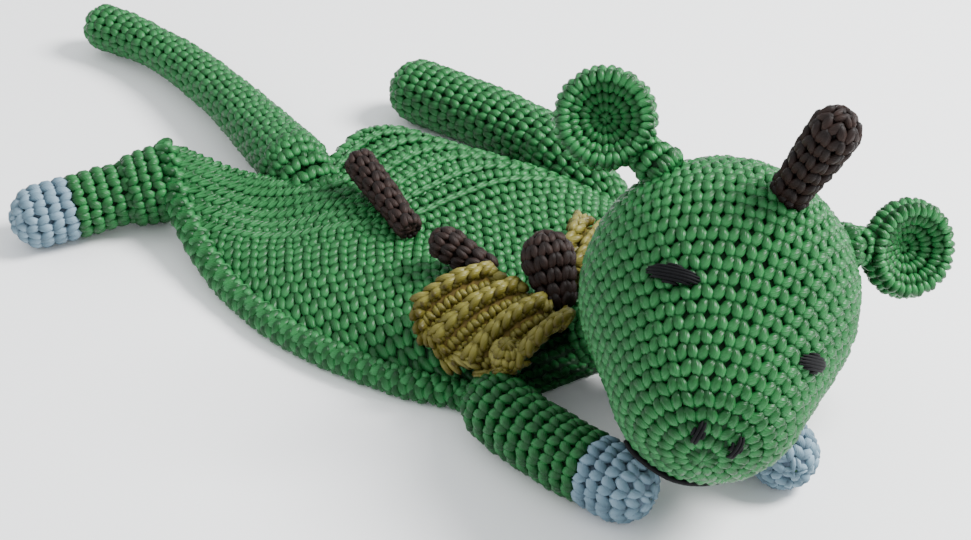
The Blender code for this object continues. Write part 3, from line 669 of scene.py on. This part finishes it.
def add_head():
    def at_neck(point):
        away = (point - HEAD_CENTRE).normalized()
        return away.dot(NECK) > math.cos(math.asin(POCKET_RADIUS / HEAD_RADIUS))

    dress("head", head_surface, "head", ("head_cover", "head_stuffing"), GREEN, GREEN_BACK,
          "green_cotton", left_open=at_neck)
    dress("finger_pocket", pocket_surface, "head", ("finger_pocket",), GREEN, GREEN_BACK,
          "green_cotton", rise=2.0, fill=EMPTY)
    for name, (forward, turn, slant, half_length) in EYES.items():
        satin_bar(name, forward, turn, HEAD_LEFT - SNOUT * slant, half_length, EYE_HALF_WIDTH,
                  EYE_THREADS, EYE_LIFT)
    for name, side in (("right_nostril", -1), ("left_nostril", 1)):
        satin_bar(name, NOSTRIL_FORWARD, side * NOSTRIL_TURN,
                  CROWN + HEAD_LEFT * side * NOSTRIL_SLANT, *NOSTRIL_HALF, NOSTRIL_THREADS,
                  NOSTRIL_LIFT)
    mouth = []
    for step in range(17):
        share = step / 16
        point, normal = head_skin(MOUTH_FORWARD + MOUTH_BOW * math.sin(math.pi * share),
                                  MOUTH_STARTS + MOUTH_SWEEP * share)
        mouth.append(point + normal * MOUTH_LIFT)
    add_threads("mouth_line", [mouth], MOUTH_RADIUS, "mouth_thread")


def pocket_surface(row, turn):
    """The finger pocket: a tube from the neck into the head, closed at its inner end."""
    reach = HEAD_RADIUS - 1.0 - POCKET_LENGTH * min(1.0, row * 1.25)
    radius = POCKET_RADIUS * (1.0 if row < 0.8 else math.cos((row - 0.8) / 0.2 * math.pi / 2))
    return ring_point(HEAD_CENTRE + NECK * reach, NECK, turn, radius, radius)


def neck_surface(row, turn):
    centre = HEAD_CENTRE + NECK * (NECK_FROM + (NECK_TO - NECK_FROM) * row)
    return ring_point(centre, NECK, turn, NECK_RADIUS, NECK_RADIUS)


def add_neck():
    dress("neck", neck_surface, "neck", ("neck_sleeve",), GREEN, GREEN_BACK, "green_cotton",
          fill=EMPTY)


def ear_axes(side):
    skin, outward = head_skin(EAR_ROOT[0], side * EAR_ROOT[1])
    root = skin + outward * 1.6
    reach = (side * EAR_REACH[0] * HEAD_LEFT + EAR_REACH[1] * CROWN
             + EAR_REACH[2] * SNOUT).normalized()
    facing = (EAR_FACING - EAR_FACING.dot(reach) * reach).normalized()
    return root, reach, facing, facing.cross(reach).normalized()


def ear_surface(side):
    """A cupped disc with a thick rolled rim: row 0 is the hollow's centre, 1 the back's."""
    root, reach, facing, across = ear_axes(side)
    centre = root + reach * EAR_OUT
    thick, half, depth = EAR_RIM, EAR_HALF, EAR_DEPTH

    def surface(row, turn):
        spread = across * math.cos(turn) + reach * math.sin(turn)
        if row < 0.42:
            out = half * row / 0.42
            return centre + spread * out + facing * (depth * ((out / half) ** 2 - 1) + thick)
        if row < 0.58:
            angle = (row - 0.42) / 0.16 * math.pi
            return (centre + spread * (half + thick * math.sin(angle))
                    + facing * thick * math.cos(angle))
        out = half * (1 - row) / 0.42
        return centre + spread * out + facing * (depth * 0.7 * ((out / half) ** 2 - 1) - thick)

    return surface


def add_ear(name, side):
    """Rings of chunky stitches from the rolled rim into the hollow and down the back."""
    root, reach, facing, across = ear_axes(side)
    centre = root + reach * EAR_OUT
    back = tube_backing(name + "_backing", ear_surface(side), GREEN_BACK,
                        inset=0.6)
    rim, inside = [], []
    for ring, (radius, lift, number, width, height, rise, tilt) in enumerate(EAR_RINGS):
        for k in range(number):
            turn = 2 * math.pi * (k + 0.5 * (ring % 2)) / number
            spread = across * math.cos(turn) + reach * math.sin(turn)
            lean = math.radians(tilt)
            outward = facing * math.cos(lean) + spread * math.sin(lean)
            (rim if ring < 2 else inside).append(stitch_matrix(
                centre + spread * radius + facing * lift, facing.cross(spread),
                spread * math.cos(lean) - facing * math.sin(lean), outward, width, height, rise))
    edge = stitches(name + "_rim", ROUNDED, rim, GREEN)
    cover = stitches(name + "_stitches", SINGLE, inside, GREEN)
    for part in (back, edge, cover):
        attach(part, name)
    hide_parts(name)
    stem = (root - reach * 1.5, root + reach * 2.0 - facing * 0.5,
            root + reach * 4.0 - facing * 2.0, root + reach * 6.5 - facing * 4.0)
    surface = capsule(stem, lambda share: EAR_STEM_RADIUS - EAR_STEM_TAPER * share,
                      lambda share: 1.0, curve_length(stem))[0]
    dress(name + "_stem", surface, name, (), GREEN, GREEN_BACK, "green_cotton",
          row_height=4.2, width=5.0, rise=3.0)


def add_horn():
    tilt = math.radians(HORN_TILT)
    lean = math.cos(tilt) * CROWN - math.sin(tilt) * SNOUT
    base = HEAD_CENTRE - HORN_BACK * SNOUT + HORN_HEIGHT * CROWN
    add_spike("horn", base, base + HORN_LENGTH * lean.normalized(), *HORN_RADII, "horn",
              "head_horn")


def add_spike(name, base, tip, base_radius, tip_radius, body, nodes):
    base, tip = Vector(base), Vector(tip)
    control = (base, base.lerp(tip, 1 / 3), base.lerp(tip, 2 / 3), tip)
    surface = capsule(
        control, lambda share: base_radius + (tip_radius - base_radius) * min(1, share * 1.15),
        lambda share: 1.0, (tip - base).length)[0]
    dress(name, surface, body, (nodes + "_cover", nodes + "_stuffing"), BROWN, BROWN_BACK,
          "brown_cotton", row_height=4.2, width=5.0, rise=2.8)


def add_limb(name, control, radius, press):
    def press_at(share):
        ease = min(1.0, max(0.0, (share - PRESSED_UNTIL) / (1 - PRESSED_UNTIL)))
        return press + (1 - press) * ease * ease * (3 - 2 * ease)

    length = curve_length(control)
    surface, low, high = capsule(control, lambda share: radius, press_at, length,
                                 ROOT_REACH.get(name, 0.6))
    nodes = [name + "_sleeve", name + "_cap", name + "_stuffing"]
    if name == "left_leg":
        dress(name, surface, name, nodes, GREEN, GREEN_BACK, "green_cotton")
        return
    change = low + (high - low) * (1 - CAP_LENGTH / length)
    back = tube_backing(name + "_backing", surface, GREEN_BACK)
    sleeve = stitches(name + "_stitches", SINGLE, rounds(surface, 0.0, change), GREEN)
    paw = stitches(name + "_paw_stitches", SINGLE, rounds(surface, change, 1.0), WHITE)
    paw_back = tube_backing(name + "_paw_backing",
                            lambda row, turn: surface(change + (1 - change) * row, turn),
                            WHITE_BACK, inset=BACKING_DEPTH - 0.3)
    for part in (back, sleeve, paw, paw_back):
        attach(part, name)
    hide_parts(*nodes)


def add_haunch():
    """The far hind leg's root runs on beside the glove and narrows into its border."""
    thin, thick = HAUNCH_RADII
    surface, _, high = capsule(HAUNCH, lambda share: thin + (thick - thin) * min(1, share * 1.2),
                               lambda share: 1.0, curve_length(HAUNCH), 1.0)
    back = tube_backing("left_haunch_backing", surface, GREEN_BACK)
    cover = stitches("left_haunch", SINGLE, rounds(surface, 0.0, high), GREEN)
    for part in (back, cover):
        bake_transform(part)


def add_tail():
    def radius_at(share):
        place = share * (len(TAIL_RADII) - 1)
        index = min(int(place), len(TAIL_RADII) - 2)
        return TAIL_RADII[index] + (TAIL_RADII[index + 1] - TAIL_RADII[index]) * (place - index)

    surface = capsule(TAIL, radius_at, lambda share: 1.0, curve_length(TAIL), 1.0)[0]
    back = tube_backing("tail_backing", surface, GREEN_BACK, rows=60)
    cover = stitches("tail_stitches", SINGLE, rounds(surface), GREEN)
    start, end = (bezier(TAIL, share)[0] * MM for share in TAIL_BEND)
    for part in (back, cover):
        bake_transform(part)
        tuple(start)
        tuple(end)
    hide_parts("tail_base_sleeve", "tail_base_stuffing", "tail_tip_sleeve",
                "tail_tip_stuffing")
    collar = stitches("tail_root", SINGLE, tail_root_places(), GREEN)
    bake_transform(collar)


def wing_surface(corners):
    inner_rear, inner_front, outer_front, outer_rear = [Vector(corner) for corner in corners]

    def surface(row, across):
        row, place = min(max(row, 0.0), 1.0), min(max((across + 1) / 2, 0.0), 1.0)
        bow = math.sin(math.pi * row)
        inner = inner_rear.lerp(inner_front, row)
        outer = outer_rear.lerp(outer_front, row)
        point = inner.lerp(outer + (outer - inner).normalized() * WING_BULGE * bow, place)
        point.z += (WING_RIPPLE * math.cos(2 * math.pi * WING_RIBS * row)
                    + WING_ARCH * math.sin(math.pi * place) - 2.2 - 2.0 * place * place * bow)
        return point

    return surface


def edging(surface, low, high, width, height, rise):
    """Loops laid over a panel's rim, one after another round its four sides."""
    corners = ((0.0, low, 0.0, high), (0.0, high, 1.0, high), (1.0, high, 1.0, low),
               (1.0, low, 0.0, low))
    middle = surface(0.5, (low + high) / 2)
    places = []
    for row0, across0, row1, across1 in corners:
        points = [surface(row0 + (row1 - row0) * k / 30, across0 + (across1 - across0) * k / 30)
                  for k in range(31)]
        count = max(2, round(sum((a - b).length for a, b in zip(points, points[1:])) / width))
        for k in range(count):
            index = min(29, int(30 * (k + 0.5) / count))
            way = (points[index + 1] - points[index]).normalized()
            out = (points[index] - middle).normalized()
            lying = Vector((0, 0, 1))
            outward = (out * 0.6 + lying * 0.8).normalized()
            places.append(stitch_matrix(points[index], out, way, outward, width, height, rise))
    return places


def ridge(surface, row, step, width, rise):
    """Loops lying end to end along a wing's rib, like a thick strand."""
    count = round(row_length(lambda share, a: surface(row, 2 * share - 1), 0.0) / step)
    places = []
    for k in range(count):
        across = 2 * (k + 0.5) / count - 1
        point, side, up, outward = site(surface, row, across, 0.01, 0.02)
        if outward.z < 0:
            outward = -outward
        places.append(stitch_matrix(point + outward * 1.3, up, side, outward, width * 1.5,
                                    step * 1.3, rise))
    return places


def add_wing(name, corners):
    surface = wing_surface(corners)
    base = panel_sheet(name + "_backing", surface, -1, 1, YELLOW_BACK, 12, 40,
                       0.0, 1.0)
    places = panel_places(surface, -1, 1, 3.0, 3.6, 4.2, lift=0.4)
    places += panel_places(surface, -1, 1, 2.4, 3.6, 4.2, down=True, lift=0.4)
    thick = edging(surface, -1, 1, 4.4, 6.4, 4.4)
    for rib in range(WING_RIBS + 1):
        thick += ridge(surface, rib / WING_RIBS, 4.4, 3.4, 4.4)
    cover = stitches(name + "_stitches", SINGLE, places, YELLOW)
    strands = stitches(name + "_ribs", STRAND, thick, YELLOW)
    for part in (base, cover, strands):
        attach(part, name)
    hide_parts(name)
    knob_centre = surface(0.9, 0.75) + Vector((0, 0, 3.4))

    def knob(row, turn):
        height = KNOB_RADIUS * math.cos(math.pi * row)
        radius = KNOB_RADIUS * math.sin(math.pi * row)
        return ring_point(knob_centre + Vector((0, 0, height)), Vector((0, 0, 1)), turn, radius,
                          radius)

    lump = tube_backing(name + "_knob_core", knob, YELLOW_BACK, 12, 12, 1.6)
    loops = stitches(name + "_knob", SINGLE, rounds(knob, row_height=3.6, width=4.6, rise=3.2),
                     YELLOW)
    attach(lump, name)
    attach(loops, name)


def add_border(name, line, node):
    """The glove's joining border: a thick roll of big leaning loops worked over both edges."""
    outside = -1 if line is RIGHT_EDGE else 1

    def frame_at(share):
        way = line_point(line, min(1, share + 0.02)) - line_point(line, max(0, share - 0.02))
        out = Vector((way.y, -way.x, 0)).normalized()
        if out.x * outside < 0:
            out = -out
        return line_point(line, share) + out * 2.0 - Vector((0, 0, 1.1)), way.normalized(), out

    def roll(row, turn):
        centre, way, out = frame_at(row)
        return centre + (out * math.cos(turn) + Vector((0, 0, 1)) * math.sin(turn)) * BORDER_RADIUS

    core = tube_backing(name + "_core", roll, GREEN_BACK, 16, 60, 1.4)
    length = row_length(roll, math.pi / 2)
    count = round(length / BORDER_PITCH)
    places = []
    for index in range(count):
        for place, (angle, lean) in enumerate(BORDER_LINES):
            share = min(1.0, (index + 0.5 + 0.35 * (place % 2)) / count)
            centre, way, out = frame_at(share)
            turn = math.radians(angle)
            outward = out * math.cos(turn) + Vector((0, 0, 1)) * math.sin(turn)
            up = way.cross(outward)
            places.append(stitch_matrix(centre + outward * (BORDER_RADIUS - 0.9),
                                        way + up * 0.4 * lean, up, outward, *BORDER_LOOP))
    made = stitches(name, ROUNDED, places, GREEN)
    for part in (core, made):
        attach(part, "torso")
    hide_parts(node)
    return [core, made]


def leg_cuff(row, turn):
    """The glove's rear corner, folded down round the root of the near leg."""
    root, way = bezier(LIMBS["right_leg"][0], 0.0)
    radius = CUFF_RADIUS - CUFF_TAPER * row
    return ring_point(root + way * (CUFF_LENGTH * row - CUFF_STARTS), way, turn, radius, radius)


def tail_root_places():
    """Rounds where the tail grows out of the back: only their upper half is worked."""
    surface, _, high = capsule(
        TAIL_ROOT, lambda share: TAIL_ROOT_RADIUS - TAIL_ROOT_TAPER * share,
        lambda share: 1.0, curve_length(TAIL_ROOT), 0.2)
    return [place for place in rounds(surface, 0.0, high)
            if place.translation.z > TAIL_ROOT_LOWEST * MM]


def hem_places():
    """The last row of the back, turned over its open edge above the tail."""
    places = []
    points = [back_surface(1.0, -1 + 2 * k / 60) for k in range(61)]
    for index in range(2, 58, 2):
        point = points[index]
        way = (points[index + 1] - points[index - 1]).normalized()
        out = Vector((way.y, -way.x, 0)).normalized()
        if out.y < 0:
            out = -out
        outward = Vector((0, 0, 1)) + out * 0.4
        span = (points[index + 1] - points[index - 1]).length
        places.append(stitch_matrix(point + out * 0.6 + Vector((0, 0, 0.3)), way, out, outward,
                                    max(span, 3.0), 5.6, 3.2))
    return places


def belly_surface(row, across):
    """The belly layer, flat on the ground, between the same two edges as the back."""
    right = line_point(RIGHT_EDGE, row * 0.8)
    left = line_point(LEFT_EDGE, row)
    point = right.lerp(left, (across + 1) / 2)
    point.z = 1.1
    return point


def add_glove():
    back = panel_sheet("glove_back", back_surface, -1, 1, GREEN_BACK, 60, 60, 1.2,
                       0.9)
    cover = stitches("glove_back_stitches", SINGLE,
                     panel_places(back_rows, -1, 1, 3.8, 4.6, 6.2, ribbed=0.5), GREEN)
    chains = []
    for row in HEM_CHAINS:
        chains += ridge(back_rows, row, 4.0, 1.9, 2.2)
    chain = stitches("hem_chains", STRAND, chains, GREEN)
    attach(chain, "torso")
    hem = stitches("hem_border", LEAF, hem_places(), GREEN)
    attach(hem, "torso")
    belly = panel_sheet("glove_belly", belly_surface, -1, 1, GREEN_BACK, 20, 20,
                        0.0, 0.6)
    under = stitches("glove_belly_stitches", SINGLE,
                     panel_places(belly_surface, -1, 1, 1.4, 5.4, 6.4, down=True), GREEN)
    for part in (back, cover, belly, under):
        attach(part, "torso")
    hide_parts("back_panel")
    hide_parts("belly_panel")
    cuff = stitches("rear_corner", SINGLE, rounds(leg_cuff, rise=3.6), GREEN)
    cuff_back = tube_backing("rear_corner_backing", leg_cuff, GREEN_BACK, 24, 6, 2.0)
    for part in (cuff, cuff_back):
        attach(part, "torso")
    borders = (add_border("right_border", RIGHT_EDGE, "right_side_seam")
               + add_border("left_border", LEFT_EDGE, "left_side_seam"))


def add_floor():
    bm = bmesh.new()
    bmesh.ops.create_grid(bm, x_segments=1, y_segments=1, size=4.0)
    mesh = bpy.data.meshes.new("floor")
    bm.to_mesh(mesh)
    bm.free()
    floor = bpy.data.objects.new("floor", mesh)
    bpy.context.scene.collection.objects.link(floor)
    paper = bpy.data.materials.new("matt_backdrop_paper")
    paper.use_nodes = True
    paper.node_tree.nodes["Principled BSDF"].inputs["Base Color"].default_value = linear("fafafa")
    paper.node_tree.nodes["Principled BSDF"].inputs["Roughness"].default_value = 0.9
    mesh.materials.append(paper)


def add_light(name, place, target, size, power):
    light = bpy.data.lights.new(name, "AREA")
    light.shape = "DISK"
    light.size = size
    light.energy = power
    made = bpy.data.objects.new(name, light)
    made.location = place
    made.rotation_euler = (Vector(target) - Vector(place)).to_track_quat("-Z", "Y").to_euler()
    bpy.context.scene.collection.objects.link(made)


def add_camera():
    right = Vector(CAMERA_RIGHT).normalized()
    view = Vector(CAMERA_VIEW).normalized()
    up = right.cross(view).normalized()
    data = bpy.data.cameras.new("camera")
    data.sensor_width = SENSOR_WIDTH
    data.lens = FOCAL_LENGTH
    data.clip_start = 0.01
    made = bpy.data.objects.new("camera", data)
    turn = Matrix((right, up, -view)).transposed().to_4x4()
    made.matrix_world = Matrix.Translation(Vector(CAMERA_PLACE) * MM) @ turn
    bpy.context.scene.collection.objects.link(made)
    bpy.context.scene.camera = made


def add_world():
    world = bpy.data.worlds.new("soft_studio")
    world.use_nodes = True
    sky = world.node_tree.nodes["Background"]
    sky.inputs["Color"].default_value = (0.93, 0.97, 1.0, 1.0)
    sky.inputs["Strength"].default_value = 1.2
    bpy.context.scene.world = world


add_glove()
add_neck()
add_head()
add_ear("right_ear", -1)
add_ear("left_ear", 1)
add_horn()
for key, numbers in SPIKES.items():
    add_spike(key + "_spike", *numbers, key + "_spike", "back_spike_" + key)
for key, corners in WINGS.items():
    add_wing(key, corners)
for key, numbers in LIMBS.items():
    add_limb(key, *numbers)
add_haunch()
add_tail()
add_floor()
add_light("key", (0.65, -0.55, 0.9), (0, -0.02, 0.03), 0.5, 36.0)
add_light("fill", (-0.6, 0.6, 1.0), (0, -0.05, 0.03), 0.9, 2.0)
add_camera()
add_world()
